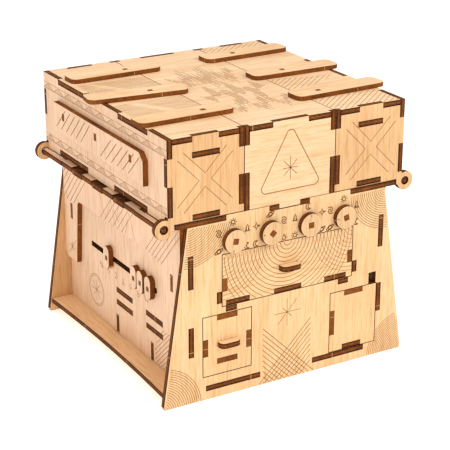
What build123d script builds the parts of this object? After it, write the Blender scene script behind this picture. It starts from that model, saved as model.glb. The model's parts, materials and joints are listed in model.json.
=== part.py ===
"""Laser-cut plywood puzzle box: dials, sliders, three drawers and two hinged wing boxes.

The boards are one sheet thickness, the battens a thinner one.
X runs left to right, Y runs from the front face to the back,
Z is up. The model is drawn with the front face at y = 0 and moved to its origin, the middle of its
footprint, when it is written out.
"""
import os
from math import hypot

from build123d import *

# ---------------------------------------------------------------- driving dimensions, millimetres
ply = 3.0                # sheet thickness
gap = 0.2                # running clearance between moving bodies

depth = 150.0            # outer face of the front panel to outer face of the back panel
foot_half = 76.8         # half width of the lower panels at the floor
shoulder_half = 61.7     # half width of the lower panels under the deck
deck_height = 100.5      # floor to the underside of the deck
wing_half = 72.8         # half width over the closed wing boxes
upper_height = 45.5      # deck top to roof top
seam = 28.0              # half width of the centre box, middle of the seam
side_half = 61.4         # outer faces of the lower side panels
floor_height = 5.1       # underside of the bottom plate

eye_outer = 5.3          # radius of a hinge eye
peg_play = 0.18          # room round a square peg that turns in a round hole
hinge_out = 2.2          # how far the hinge axis stands outside the wing wall
knuckle_start = 30.5     # front end of the knuckle row
knuckle_pitch = 13.0
knuckle_count = 7

finger_low = 20.5        # the walls' fingers show in the panels up to this height over the deck
finger_high = 35.5       # and from this one up, so the panels reach the corners in between
finger_foot = 4.4        # the panels also reach the corners below this one

dial_radius = 6.6
dial_height = 88.8
dial_inset = 6.7         # outer dials, in from the drawer opening's edge
dial_share = 0.3468      # inner dials stand at this share of the outer dials' distance from the middle
dial_turns = (10.0, 45.0, 0.0, -12.0)    # how each square peg stands at rest
cam_room = 1.3           # each side of the line halfway between two cams
notch_width = 6.0

main_half = 41.3         # half width of the main drawer opening
main_low, main_high = 52.2, 81.9
main_length = 118.0
left_open = (-53.1, -23.0, 13.5, 48.4)   # x from, x to, z from, z to
right_open = (27.3, side_half - ply, floor_height + ply + 0.3, 44.6)   # ends at the side panel
small_length = 84.0
handle_width, handle_reach = 12.4, 4.5

slot_low, slot_high = 50.7, 53.7         # slider slot in the left side panel
slot_front, slot_back = 35.3, 116.4
slider_places = (91.2, 57.4, 49.6, 40.4)
slider_width, slider_tall = 7.0, 13.6

batten_ply = 2.4         # sheet thickness of the battens
batten_width, batten_corner = 14.0, 4.0
# pivot's distance from the inner wall, pivot y, reach to the inner end, reach to the outer end, turn at rest
left_battens = ((3.4, 121.8, 20.6, 35.8, 0.5), (11.1, 76.0, 20.8, 37.0, -6.5), (4.1, 30.2, 16.0, 40.0, 0.5))
right_battens = ((6.0, 122.6, 20.9, 35.5, 1.5), (11.5, 76.4, 21.6, 34.8, -1.0), (5.6, 30.6, 16.8, 41.2, 1.6))

# ---------------------------------------------------------------- worked out from them
deck_top = deck_height + ply
roof = deck_top + upper_height
wing_low = deck_top + gap
eye_hole = hypot(ply, ply) / 2 + peg_play
hinge_x = wing_half + hinge_out
hinge_z = deck_height + ply / 2
wall_low = deck_top + finger_low
wall_high = deck_top + finger_high
wall_foot = deck_top + finger_foot
wing_floor = wing_low + 0.5
disc_room = 2.5                          # free height round the battens' keeper discs
shelf_low = roof - 3 * ply - disc_room
dial_outer = main_half - dial_inset
dial_inner = dial_outer * dial_share
dial_places = (-dial_outer, -dial_inner, dial_inner, dial_outer)
cam_radius = (dial_outer - dial_inner) / 2 - cam_room
plate_top = floor_height + ply
inner_wing = seam + gap / 2
centre_half = seam - gap / 2
batten_from = inner_wing + ply           # inside face of the wing's inner wall
middle_low = main_low - gap - ply


def block(x0, x1, y0, y1, z0, z1):
    """A board or a cut between two opposite corners."""
    return Pos((x0 + x1) / 2, (y0 + y1) / 2, (z0 + z1) / 2) * Box(abs(x1 - x0), abs(y1 - y0), abs(z1 - z0))


def upright(points, y0, y1):
    """A board parallel to the front, from its outline in X and Z."""
    outline = Polyline([(x, y0, z) for x, z in points], close=True)
    return extrude(make_face(outline), amount=y1 - y0, dir=(0, 1, 0))


def sidewise(points, x0, x1):
    """A board parallel to the sides, from its outline in Y and Z."""
    outline = Polyline([(x0, y, z) for y, z in points], close=True)
    return extrude(make_face(outline), amount=x1 - x0, dir=(1, 0, 0))


def rod_y(x, z, radius, y0, y1):
    """A round bar or hole along Y."""
    return Pos(x, (y0 + y1) / 2, z) * Rot(90, 0, 0) * Cylinder(radius, y1 - y0)


def to_back(board):
    """The same board at the back: turned over about the middle of the depth."""
    return Pos(0, depth, 0) * mirror(board, about=Plane.XZ)


def both_ends(board):
    return board + to_back(board)


def to_left(board):
    return mirror(board, about=Plane.YZ)


def panel_half(z):
    """Half width of the tapered lower panels at a height."""
    return foot_half + (shoulder_half - foot_half) * z / deck_height


# ---------------------------------------------------------------- lower body
center_rise = 38.8                       # half width where the front rises over the deck's edge
tongue_half, latch_half = 6.6, 12.5      # tongue of the centre panel, notch that holds it
side_tabs = ((27.0, 44.0), (66.0, 84.5)) # heights of the side panels' tabs
plate_tabs = ((-51.1, -17.4), (16.5, 50.7))
guide_tab = (54.5, 61.0)
shelf_tabs = ((-38.9, -32.3), (32.3, 38.9))
spy_hole = (53.0, 57.6, right_open[3], right_open[3] + 6.7)
side_x0, side_x1 = side_half - ply, side_half
guide_x0, guide_x1 = main_half, main_half + ply


def tapered_panel():
    """The board that makes the front and the back, with the slots both of them have."""
    outline = [(-foot_half + 1.2, 0), (-foot_half, 1.5), (-shoulder_half, deck_height),
               (-center_rise, deck_height), (-center_rise, deck_top), (-latch_half, deck_top),
               (-latch_half, deck_height), (latch_half, deck_height), (latch_half, deck_top),
               (center_rise, deck_top), (center_rise, deck_height), (shoulder_half, deck_height),
               (foot_half, 1.5), (foot_half - 1.2, 0)]
    panel = upright(outline, 0, ply)
    for z0, z1 in side_tabs:
        panel -= block(side_x0, side_x1, 0, ply, z0, z1) + block(-side_x1, -side_x0, 0, ply, z0, z1)
    for x0, x1 in plate_tabs:
        panel -= block(x0, x1, 0, ply, floor_height, plate_top)
    for x0, x1 in shelf_tabs:
        panel -= block(x0, x1, 0, ply, middle_low, middle_low + ply)
    panel -= block(guide_x0, guide_x1, 0, ply, *guide_tab) + block(-guide_x1, -guide_x0, 0, ply, *guide_tab)
    return panel


def make_front_panel():
    panel = tapered_panel()
    panel -= block(-main_half, main_half, 0, ply, main_low, main_high)
    panel -= block(left_open[0], left_open[1], 0, ply, left_open[2], left_open[3])
    panel -= block(right_open[0], right_open[1], 0, ply, right_open[2], right_open[3])
    panel -= block(*spy_hole[:2], 0, ply, *spy_hole[2:])
    for x in dial_places:
        panel -= rod_y(x, dial_height, eye_hole, 0, ply)
    return panel


rail_heights = (25.6, 33.2)
rail_tabs = ((29.0, 48.5), (65.0, 85.0))
rib_places = (40.4, 83.0)
rib_top = 19.0
frame_slot = (3.0, 61.0, 70.8)           # width along Y, lower and upper edge
frame_slot_places = (12.9, depth - 13.0)


def make_side_panel(left):
    """Side board of the lower body, tabbed through the front and back panels."""
    board = block(side_x0, side_x1, ply, depth - ply, plate_top, deck_height)
    for z0, z1 in side_tabs:
        board += block(side_x0, side_x1, 0, depth, z0, z1)
    for y in frame_slot_places:
        board -= block(side_x0, side_x1, y - frame_slot[0] / 2, y + frame_slot[0] / 2, *frame_slot[1:])
    if left:
        board -= block(side_x0, side_x1, slot_front, slot_back, slot_low, slot_high)
        for z in rail_heights:
            for y0, y1 in rail_tabs:
                board -= block(side_x0, side_x1, y0, y1, z, z + ply)
        for y in rib_places:
            board -= block(side_x0, side_x1, y, y + ply, plate_top, rib_top)
        board = to_left(board)
    return board


arch_leg, arch_top, arch_foot, arch_bevel = 20.0, 74.8, 34.9, 4.5
back_leg, arch_taper = 19.0, 3.6         # the back leg's width at its top, and how much less at its foot


def make_side_frame():
    """Arch-shaped board over the side panel, with two dowels that pin it on."""
    y0, y1 = ply, depth - ply
    outline = [(y0, deck_height), (y0, arch_foot + 2), (y0 + 2, arch_foot), (y0 + arch_leg, arch_foot),
               (y0 + arch_leg, arch_top - arch_bevel), (y0 + arch_leg + arch_bevel, arch_top),
               (y1 - back_leg - 2, arch_top), (y1 - back_leg, arch_top - 2), (y1 - back_leg + arch_taper, arch_foot),
               (y1 - 2.5, arch_foot), (y1, arch_foot + 3), (y1, deck_height)]
    board = sidewise(outline, side_half, side_half + ply)
    pins = []
    for y in frame_slot_places:
        place = (y - frame_slot[0] / 2, y + frame_slot[0] / 2, *frame_slot[1:])
        board -= block(side_half, side_half + ply, *place)
        pins.append(block(side_x0, side_half + ply, *place))
    return Compound(children=[board] + pins)


shelf_dip = 2.0                          # how far the shelf edges curve in at mid depth


def make_bottom_plate():
    """Level floor board; its curved long edges stand out as shelves beside the body."""
    edge = panel_half(plate_top) - 0.4
    side = ThreePointArc((edge, ply, floor_height), (edge - shelf_dip, depth / 2, floor_height),
                         (edge, depth - ply, floor_height))
    other = ThreePointArc((-edge, depth - ply, floor_height), (-edge + shelf_dip, depth / 2, floor_height),
                          (-edge, ply, floor_height))
    front = Line((-edge, ply, floor_height), (edge, ply, floor_height))
    back = Line((edge, depth - ply, floor_height), (-edge, depth - ply, floor_height))
    plate = extrude(make_face([side, back, other, front]), amount=ply, dir=(0, 0, 1))
    for x0, x1 in plate_tabs:
        plate += block(x0, x1, 0, depth, floor_height, plate_top)
    return plate


keeper_room = 0.3                        # between the sliders' keepers and the shelf
shelf_left = -(side_x0 - gap - ply - keeper_room)


def make_middle_shelf():
    """Board under the main drawer."""
    board = block(shelf_left, side_x0, ply, depth - ply, middle_low, middle_low + ply)
    for x0, x1 in shelf_tabs:
        board += block(x0, x1, 0, depth, middle_low, middle_low + ply)
    return board


cam_clear = 0.4
tray_top = dial_height - cam_radius - cam_clear    # guides and drawer walls pass under the cams


def make_partitions():
    """Upright boards beside the small drawers and the two guides of the main drawer."""
    boards = []
    for x0 in (left_open[1] + gap, right_open[0] - gap - ply):
        boards.append(block(x0, x0 + ply, ply, depth - ply, plate_top, middle_low))
    for x0, x1 in ((guide_x0, guide_x1), (-guide_x1, -guide_x0)):
        guide = block(x0, x1, ply, depth - ply, middle_low + ply, tray_top)
        boards.append(guide + block(x0, x1, 0, depth, *guide_tab))
    return Compound(children=boards)


cradle_rail = (20.0, 96.0)               # the side rails' front and back ends
cradle_extra = 16.0                      # how far the base runs on behind the drawer


def make_left_cradle():
    """Base board, cross ribs and side rails that carry the left drawer."""
    x0, x1 = left_open[0], left_open[1]
    base_top = left_open[2]
    base_low = base_top - ply
    pieces = [block(x0, x1, ply, small_length + cradle_extra, base_low, base_top)]
    for y in rib_places:
        rib = block(x0, x1, y, y + ply, plate_top, base_low)
        rib += block(-side_x1, x0 - gap, y, y + ply, plate_top, rib_top)
        rib += block(x0 - gap, x0, y, y + ply, plate_top, base_low)
        pieces.append(rib)
    for z in rail_heights:
        rail = block(-side_x0, x0 - gap, *cradle_rail, z, z + ply)
        for y0, y1 in rail_tabs:
            rail += block(-side_x1, -side_x0, y0, y1, z, z + ply)
        pieces.append(rail)
    return Compound(children=pieces)


axle_plate_y = 17.0                      # front face of the board that carries the axle ends


def make_axle_plate():
    """Board behind the dials, set between the side panels under the deck."""
    low = main_high + gap
    plate = block(-side_x0, side_x0, axle_plate_y, axle_plate_y + ply, low, deck_height)
    for x in dial_places:
        plate -= rod_y(x, dial_height, eye_hole, axle_plate_y, axle_plate_y + ply)
    return plate


deck_end = hinge_x - 6.6                 # half width of the deck at its front and back strips
deck_side = hinge_x - 5.0                # and between them
knuckle_slit = 1.0
rod_short = 0.4                          # the rods end this far inside the deck's ends
knuckle_in, slit_in = 0.3, 1.5           # knuckles stop inside the rod's side, slits start inside the edge
knuckle_drop = 0.6                       # every second knuckle sits this much lower


def make_deck():
    """Deck with the two hinge rods and a row of knuckles cut into each long side."""
    deck = block(-deck_end, deck_end, 0, depth, deck_height, deck_top)
    deck += block(-deck_side, deck_side, ply + gap, depth - ply - gap, deck_height, deck_top)
    row_end = knuckle_start + knuckle_pitch * knuckle_count
    for side in (-1, 1):
        rod = (side * (hinge_x - ply / 2), side * (hinge_x + ply / 2))
        deck += block(*rod, rod_short, depth - rod_short, deck_height, deck_top)
        deck -= block(side * deck_side, side * (hinge_x + ply), knuckle_start, row_end, deck_height, deck_top)
        for i in range(knuckle_count):
            y0 = knuckle_start + knuckle_pitch * i
            y1 = row_end if i == knuckle_count - 1 else y0 + knuckle_pitch - knuckle_slit
            drop = knuckle_drop * (i % 2)
            deck += block(side * (deck_side + slit_in), side * (hinge_x + ply / 2 - knuckle_in), y0, y1,
                          deck_height - drop, deck_top - drop)
        deck += block(side * deck_side, side * (deck_side + slit_in), knuckle_start, row_end,
                      deck_height, deck_top)
    for x0, x1 in ((-center_rise, -latch_half), (-tongue_half, tongue_half), (latch_half, center_rise)):
        deck -= both_ends(block(x0, x1, 0, ply, deck_height, deck_top))
    return deck


# ---------------------------------------------------------------- centre box
top_finger = 11.0                        # half width of the panel finger that reaches the roof
tongue_room = 0.3                        # under the front panel's tongue


def make_center_front():
    panel = block(-centre_half, centre_half, 0, ply, deck_top, roof)
    for side in (-1, 1):
        x0, x1 = side * (centre_half - ply), side * centre_half
        panel -= block(x0, x1, 0, ply, deck_top, wall_low) + block(x0, x1, 0, ply, wall_high, roof)
        panel -= block(side * top_finger, x0, 0, ply, roof - ply, roof)
    return panel + block(-tongue_half, tongue_half, 0, ply, deck_height + tongue_room, deck_top)


window_rim = (26.0, 4.0, 4.5)            # left of the wall at the window's ends, bottom and top
window_y = (window_rim[0], depth - window_rim[0])
window_z = (wing_floor + ply + window_rim[1], shelf_low - window_rim[2])


def inner_wall(x0, x1, low, foot):
    """Wall along the seam with a window, notched where the end panels reach the corner."""
    wall = block(x0, x1, 0, depth, low, roof - ply)
    wall += both_ends(block(x0, x1, 0, ply, roof - ply, roof))
    wall -= both_ends(block(x0, x1, 0, ply, wall_low, wall_high))
    if foot > low:
        wall -= both_ends(block(x0, x1, 0, ply, low, foot))
    return wall - block(x0, x1, *window_y, *window_z)


def make_center_walls():
    wall = inner_wall(centre_half - ply, centre_half, deck_top, deck_top)
    return Compound(children=[wall, to_left(wall)])


def make_center_top():
    plate = block(-centre_half, centre_half, ply, depth - ply, roof - ply, roof)
    for side in (-1, 1):
        plate += block(side * top_finger, side * (centre_half - ply), 0, depth, roof - ply, roof)
    return plate


# ---------------------------------------------------------------- wing boxes (drawn for the right)
wing_finger = (43.0, 58.4)               # the end panel's finger that reaches the roof
floor_tab = (42.6, 58.4)
top_tabs = ((20.5, 54.0), (depth - 54.0, depth - 20.5))
floor_notches = ((22.0, 60.5), (depth - 57.0, depth - 19.6))
side_plate = (20.5, depth - 20.0, deck_top + 15.5, deck_top + 33.0)
side_pegs = (35.0, depth / 2 + 1.7, depth - 32.0)
peg_tall = 4.2
peg_height = deck_top + 24.4
outer_wall = wing_half - ply
eye_neck = (6.0, 1.5, 2.0)               # reach inwards, below the axis, up into the panel


def make_wing_end():
    """Front board of a wing box with the hinge eye that belongs to it."""
    panel = block(inner_wing, wing_half, 0, ply, wing_low, roof)
    for x0, x1 in ((outer_wall, wing_half), (inner_wing, inner_wing + ply)):
        panel -= block(x0, x1, 0, ply, wall_foot, wall_low) + block(x0, x1, 0, ply, wall_high, roof)
    for x0, x1 in ((inner_wing, wing_finger[0]), (wing_finger[1], wing_half)):
        panel -= block(x0, x1, 0, ply, roof - ply, roof)
    reach, below, above = eye_neck
    panel += block(hinge_x - reach, hinge_x, 0, ply, hinge_z - below, wing_low + above)
    wall_end = block(outer_wall, wing_half, 0, ply, wall_foot, wall_low)
    panel += rod_y(hinge_x, hinge_z, eye_outer, 0, ply) - wall_end
    panel -= rod_y(hinge_x, hinge_z, eye_hole, 0, ply)
    panel -= block(*floor_tab, 0, ply, shelf_low, shelf_low + ply)
    return panel - block(*floor_tab, 0, ply, wing_floor, wing_floor + ply)


def make_wing_outer():
    wall = block(outer_wall, wing_half, 0, depth, wing_low, roof)
    wall -= both_ends(block(outer_wall, wing_half, 0, ply, wing_low, wall_foot))
    wall -= both_ends(block(outer_wall, wing_half, 0, ply, wall_low, wall_high))
    for y0, y1 in top_tabs:
        wall -= block(outer_wall, wing_half, y0, y1, roof - ply, roof)
    for y0, y1 in floor_notches:
        wall -= block(outer_wall, wing_half, y0, y1, wing_low, wing_floor + ply)
    for y in side_pegs:
        wall -= block(outer_wall, wing_half, y - ply / 2, y + ply / 2, peg_height, peg_height + peg_tall)
    return wall


def make_wing_top(battens):
    plate = block(inner_wing, outer_wall, ply, depth - ply, roof - ply, roof)
    for y0, y1 in top_tabs:
        plate += block(outer_wall, wing_half, y0, y1, roof - ply, roof)
    plate += block(inner_wing + ply, wing_finger[0], 0, depth, roof - ply, roof)
    plate += block(wing_finger[1], outer_wall, 0, depth, roof - ply, roof)
    for pivot in battens:
        plate -= Pos(batten_from + pivot[0], pivot[1], roof - ply / 2) * Cylinder(eye_hole, ply)
    return plate


def make_wing_floor():
    """Floor of the wing and the thin shelf that hides the undersides of the battens' pegs."""
    floor = block(inner_wing + ply, outer_wall, ply, depth - ply, wing_floor, wing_floor + ply)
    for y0, y1 in floor_notches:
        floor += block(outer_wall, wing_half, y0, y1, wing_floor, wing_floor + ply)
    floor += block(*floor_tab, 0, depth, wing_floor, wing_floor + ply)
    shelf = block(inner_wing + ply, outer_wall, ply, depth - ply, shelf_low, shelf_low + ply)
    shelf += block(*floor_tab, 0, depth, shelf_low, shelf_low + ply)
    return Compound(children=[floor, shelf])


plate_bevel = 4.0


def make_side_plate():
    """Trim board on the wing's outer wall with its three square pegs."""
    y0, y1, z0, z1 = side_plate
    outline = [(y0, z0), (y1, z0), (y1, z1), (y0 + plate_bevel, z1), (y0, z1 - plate_bevel)]
    board = sidewise(outline, wing_half, wing_half + ply)
    pieces = []
    for y in side_pegs:
        hole = block(wing_half, wing_half + ply, y - ply / 2, y + ply / 2, peg_height, peg_height + peg_tall)
        board -= hole
        pieces.append(block(outer_wall, wing_half + ply, y - ply / 2, y + ply / 2,
                            peg_height, peg_height + peg_tall))
    return Compound(children=[board] + pieces)


# ---------------------------------------------------------------- battens
keeper_radius = 3.1                      # of the discs that hold the square pegs in place
disc_gap, peg_gap = 0.3, 0.5             # disc to roof plate, peg to the shelf under it


def make_batten(side, off_wall, y, inner, outer, turn):
    """A batten on the roof, its square peg through the plate, and the disc that keeps it there."""
    low = roof + gap
    length = inner + outer
    middle = side * (outer - inner) / 2
    bar = extrude(Pos(middle, 0, 0) * RectangleRounded(length, batten_width, batten_corner), amount=batten_ply)
    peg_low = shelf_low + ply + peg_gap
    disc_low = roof - ply - disc_gap - ply
    peg = block(-ply / 2, ply / 2, -ply / 2, ply / 2, peg_low - low, batten_ply)
    disc = Pos(0, 0, disc_low - low + ply / 2) * Cylinder(keeper_radius, ply)
    place = Pos(side * (batten_from + off_wall), y, low) * Rot(0, 0, turn)
    return Compound(children=[place * (bar - peg), place * peg, place * (disc - peg)])


# ---------------------------------------------------------------- drawers
def drawer_tray(x0, x1, z_floor, z_top, length, back_top):
    """Side walls and back wall of a drawer, standing on its floor."""
    low = z_floor + ply
    left = block(x0, x0 + ply, ply, length, low, z_top)
    right = block(x1 - ply, x1, ply, length, low, z_top)
    back = block(x0 + ply, x1 - ply, length - ply, length, low, back_top)
    return left, right, back


handle_round = 3.0
tenon_half = 2.5                         # of the handles' tenons through the faces


def make_handle(x, z):
    """Handle tongue with rounded front corners, glued through the drawer's face."""
    half = handle_width / 2
    plate = block(x - half, x + half, -handle_reach, 0, z, z + ply)
    corners = plate.edges().filter_by(Axis.Z).group_by(Axis.Y)[0]
    plate = fillet(corners, handle_round)
    return plate + block(x - tenon_half, x + tenon_half, 0, ply, z, z + ply)


main_face = (-main_half + gap, main_half - gap, main_low + gap, main_high - gap)
main_floor_tabs = ((2.6 - main_half, 16.9 - main_half), (-9.0, 8.1), (main_half - 18.1, main_half - 4.1))
main_wall_tab = (61.0, 68.0)
main_handle_z = 65.6
comb_back, comb_front, comb_rise = 2.5, 0.5, 12.0  # clear of the axle plate, of the cams, of the floor
finger_play = 1.0                        # each side of a comb finger in its notch
comb_y = axle_plate_y - comb_back - ply
cam_y = comb_y - comb_front - ply


def make_main_drawer():
    x0, x1, z0, z1 = main_face
    face = block(x0, x1, 0, ply, z0, z1)
    left, right, back = drawer_tray(x0, x1, z0, tray_top, main_length, tray_top)
    floor = block(x0, x1, ply, main_length, z0, z0 + ply)
    for a, b in main_floor_tabs:
        floor += block(a, b, 0, ply, z0, z0 + ply)
        face -= block(a, b, 0, ply, z0, z0 + ply)
    left += block(x0, x0 + ply, 0, ply, *main_wall_tab)
    right += block(x1 - ply, x1, 0, ply, *main_wall_tab)
    face -= block(x0, x0 + ply, 0, ply, *main_wall_tab) + block(x1 - ply, x1, 0, ply, *main_wall_tab)
    face -= block(-tenon_half, tenon_half, 0, ply, main_handle_z, main_handle_z + ply)
    comb = block(x0 + ply, x1 - ply, comb_y, comb_y + ply, z0 + ply + comb_rise, tray_top)
    finger = notch_width / 2 - finger_play
    for x in dial_places:
        comb += block(x - finger, x + finger, comb_y, comb_y + ply, tray_top, main_high - 2 * gap)
    return {
        "main_drawer_front": face, "main_drawer_floor": floor,
        "main_drawer_walls": Compound(children=[left, right, back]),
        "main_drawer_handle": make_handle(0, main_handle_z), "main_drawer_lock_comb": comb}


rail_depth = 12.0                        # of the small drawers' top rails
left_floor_z = 19.7
left_handle = (-37.8, 29.6)
left_side_tabs = ((25.4, 35.1), (25.2, 35.0))
left_cross_tab = (-44.2, -31.9)
right_side_tab = (19.1, 33.6)
right_floor_tab, right_roof_tab = (36.3, 48.6), (36.8, 49.0)


def make_left_drawer():
    x0, x1, z0, z1 = left_open[0] + gap, left_open[1] - gap, left_open[2] + gap, left_open[3] - gap
    face = block(x0, x1, 0, ply, z0, z1)
    rail_low = z1 - ply
    left, right, back = drawer_tray(x0, x1, left_floor_z, rail_low, small_length, rail_low)
    rail = block(x0, x1, ply, ply + rail_depth, rail_low, z1) + block(*left_cross_tab, 0, ply, rail_low, z1)
    floor = block(x0, x1, ply, small_length, left_floor_z, left_floor_z + ply)
    floor += block(*left_cross_tab, 0, ply, left_floor_z, left_floor_z + ply)
    runners = [block(x, x + ply, ply, small_length, z0, left_floor_z) for x in (x0, x1 - ply)]
    left += block(x0, x0 + ply, 0, ply, *left_side_tabs[0])
    right += block(x1 - ply, x1, 0, ply, *left_side_tabs[1])
    for cut in (block(*left_cross_tab, 0, ply, rail_low, z1), left,
                block(*left_cross_tab, 0, ply, left_floor_z, left_floor_z + ply), right):
        face -= cut
    x, z = left_handle
    face -= block(x - tenon_half, x + tenon_half, 0, ply, z, z + ply)
    return {
        "left_drawer_front": face, "left_drawer_floor": Compound(children=[floor] + runners),
        "left_drawer_walls": Compound(children=[left, right, back, rail]),
        "left_drawer_handle": make_handle(x, z)}


def make_right_drawer():
    x0, x1 = right_open[0] + gap, right_open[1] - gap
    z0, z1 = right_open[2] + gap, right_open[3] - gap
    face = block(x0, x1, 0, ply, z0, z1)
    rail_low = z1 - ply
    left, right, back = drawer_tray(x0, x1, z0, rail_low, small_length, rail_low)
    rail = block(x0, x1, ply, ply + rail_depth, rail_low, z1) + block(*right_roof_tab, 0, ply, rail_low, z1)
    floor = block(x0, x1, ply, small_length, z0, z0 + ply)
    floor += block(*right_floor_tab, 0, ply, z0, z0 + ply)
    left += block(x0, x0 + ply, 0, ply, *right_side_tab)
    for cut in (left, rail, floor):
        face -= cut
    return {
        "right_drawer_front": face, "right_drawer_floor": floor,
        "right_drawer_walls": Compound(children=[left, right, back, rail])}


# ---------------------------------------------------------------- dials and sliders
knob_gap, cap_gap, notch_over = 0.1, 0.3, 0.8      # knob to panel, disc to axle plate, finger to notch


def make_dial(x, turn):
    """A knob on the front, and behind it the square axle with its notched cam and keeper disc."""
    square = Pos(x, 0, dial_height) * Rot(0, turn, 0)
    y_end = axle_plate_y + ply + cap_gap + ply
    knob = rod_y(x, dial_height, dial_radius, -ply - knob_gap, -knob_gap)
    bore = square * block(-ply / 2, ply / 2, -ply - knob_gap, y_end, -ply / 2, ply / 2)
    cam = rod_y(x, dial_height, cam_radius, cam_y, cam_y + ply)
    cam -= block(x - notch_width / 2, x + notch_width / 2, cam_y, cam_y + ply,
                 tray_top, main_high + notch_over)
    keeper = rod_y(x, dial_height, keeper_radius, y_end - ply, y_end)
    return knob - bore, Compound(children=[bore, cam - bore, keeper - bore])


knob_rise = 0.5                          # knobs sit this far over the slot's middle
peg_slack = 0.1                          # round the sliders' pegs
slider_keeper = (3.0, 2.0)               # half width along the slot, height over it


def make_slider(y):
    """A pill-shaped knob outside the left side panel, its peg and the keeper block inside."""
    z = (slot_low + slot_high) / 2
    outer = side_half + gap
    knob = Pos(-outer - ply / 2, y, z + knob_rise) * Rot(0, 90, 0) * extrude(
        SlotOverall(slider_tall, slider_width), amount=ply / 2, both=True)
    peg_end = side_x0 - gap - ply
    half = ply / 2 - peg_slack
    peg = block(-outer - ply, -peg_end, y - half, y + half, slot_low + peg_slack, slot_high - peg_slack)
    wide, over = slider_keeper
    keeper = block(-peg_end - ply, -peg_end, y - wide, y + wide, middle_low + 2 * gap, slot_high + over)
    return Compound(children=[knob - peg, peg, keeper - peg])


# ---------------------------------------------------------------- assembly
def make_nodes():
    front = make_front_panel()
    frame = make_side_frame()
    centre_front = make_center_front()
    nodes = {
        "front_panel": front,
        "back_panel": to_back(tapered_panel()),
        "left_side_panel": make_side_panel(True),
        "right_side_panel": make_side_panel(False),
        "left_side_frame": to_left(frame),
        "right_side_frame": frame,
        "bottom_plate": make_bottom_plate(),
        "middle_shelf": make_middle_shelf(),
        "drawer_partitions": make_partitions(),
        "left_drawer_cradle": make_left_cradle(),
        "axle_plate": make_axle_plate(),
        "deck_plate": make_deck(),
        "center_front_panel": centre_front,
        "center_back_panel": to_back(centre_front),
        "center_walls": make_center_walls(),
        "center_top_plate": make_center_top(),
    }
    nodes.update(make_main_drawer())
    nodes.update(make_left_drawer())
    nodes.update(make_right_drawer())
    for number, (x, turn) in enumerate(zip(dial_places, dial_turns), start=1):
        nodes[f"dial_{number}_knob"], nodes[f"dial_{number}_axle"] = make_dial(x, turn)
    for number, y in enumerate(slider_places, start=1):
        nodes[f"slider_{number}"] = make_slider(y)
    for name, side, battens in (("left", -1, left_battens), ("right", 1, right_battens)):
        end = make_wing_end()
        wing = {
            "front": end, "back": to_back(end), "outer_wall": make_wing_outer(),
            "inner_wall": inner_wall(inner_wing, inner_wing + ply, wing_low, wall_foot),
            "top": make_wing_top(battens), "floor": make_wing_floor(), "side_plate": make_side_plate()}
        for piece, board in wing.items():
            nodes[f"{name}_wing_{piece}"] = to_left(board) if name == "left" else board
        for number, batten in enumerate(battens, start=1):
            nodes[f"{name}_batten_{number}"] = make_batten(side, *batten)
    return nodes


def main():
    os.makedirs("parts", exist_ok=True)
    middle = (depth - handle_reach) / 2
    for name, shape in make_nodes().items():
        export_step(Pos(0, -middle, 0) * shape, f"parts/{name}.step")


main()
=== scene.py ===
import json
from math import cos, pi, radians, sin, tan

import bmesh
import bpy
import numpy as np
from mathutils import Matrix, Vector

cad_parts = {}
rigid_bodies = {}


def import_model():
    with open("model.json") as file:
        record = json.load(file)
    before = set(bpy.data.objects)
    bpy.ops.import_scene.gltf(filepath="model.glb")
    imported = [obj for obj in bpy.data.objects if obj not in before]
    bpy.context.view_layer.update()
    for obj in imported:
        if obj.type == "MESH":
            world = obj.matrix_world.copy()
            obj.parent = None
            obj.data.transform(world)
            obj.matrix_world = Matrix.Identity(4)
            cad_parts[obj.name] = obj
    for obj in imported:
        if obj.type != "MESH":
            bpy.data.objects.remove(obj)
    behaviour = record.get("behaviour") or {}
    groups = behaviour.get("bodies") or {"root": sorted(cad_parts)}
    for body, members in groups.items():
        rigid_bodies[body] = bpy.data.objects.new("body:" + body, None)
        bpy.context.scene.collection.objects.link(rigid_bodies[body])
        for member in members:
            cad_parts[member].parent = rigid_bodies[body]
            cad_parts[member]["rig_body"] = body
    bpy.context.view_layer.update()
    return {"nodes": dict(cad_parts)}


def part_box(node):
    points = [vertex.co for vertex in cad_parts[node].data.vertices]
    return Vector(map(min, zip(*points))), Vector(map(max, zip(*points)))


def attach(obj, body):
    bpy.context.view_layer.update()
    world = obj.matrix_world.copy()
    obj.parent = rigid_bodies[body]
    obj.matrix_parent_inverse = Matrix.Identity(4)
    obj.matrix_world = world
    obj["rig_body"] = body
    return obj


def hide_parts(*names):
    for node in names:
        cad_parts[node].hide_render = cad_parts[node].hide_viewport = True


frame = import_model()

# ------------------------------------------------------------------ table, light and camera
# The box stands on a plain white table in a white room. A soft lamp in front and to the right lights
# it with one overhead, and a weaker one fills the left side.


def world_of(colour, strength):
    world = bpy.data.worlds.new("white_room")
    world.use_nodes = True
    background = world.node_tree.nodes["Background"]
    background.inputs["Color"].default_value = (*colour, 1)
    background.inputs["Strength"].default_value = strength
    bpy.context.scene.world = world


def soft_lamp(name, place, towards, size, power, colour):
    lamp = bpy.data.lights.new(name, "AREA")
    lamp.size = size
    lamp.energy = power
    lamp.color = colour
    holder = bpy.data.objects.new(name, lamp)
    holder.location = place
    holder.rotation_euler = (Vector(towards) - Vector(place)).to_track_quat("-Z", "Y").to_euler()
    bpy.context.scene.collection.objects.link(holder)


world_of((1.0, 0.995, 0.985), 0.58)
soft_lamp("front_lamp", (0.25, -0.85, 0.75), (0, 0, 0.06), 0.4, 4.3, (1.0, 0.97, 0.93))
soft_lamp("left_lamp", (-0.85, -0.25, 0.45), (0, 0, 0.07), 0.4, 1.9, (1.0, 0.96, 0.94))
soft_lamp("ceiling_lamp", (-0.05, -0.1, 1.1), (0, 0, 0.1), 0.5, 4.3, (1.0, 0.98, 0.95))
bpy.context.scene.view_settings.view_transform = "Standard"

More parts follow.
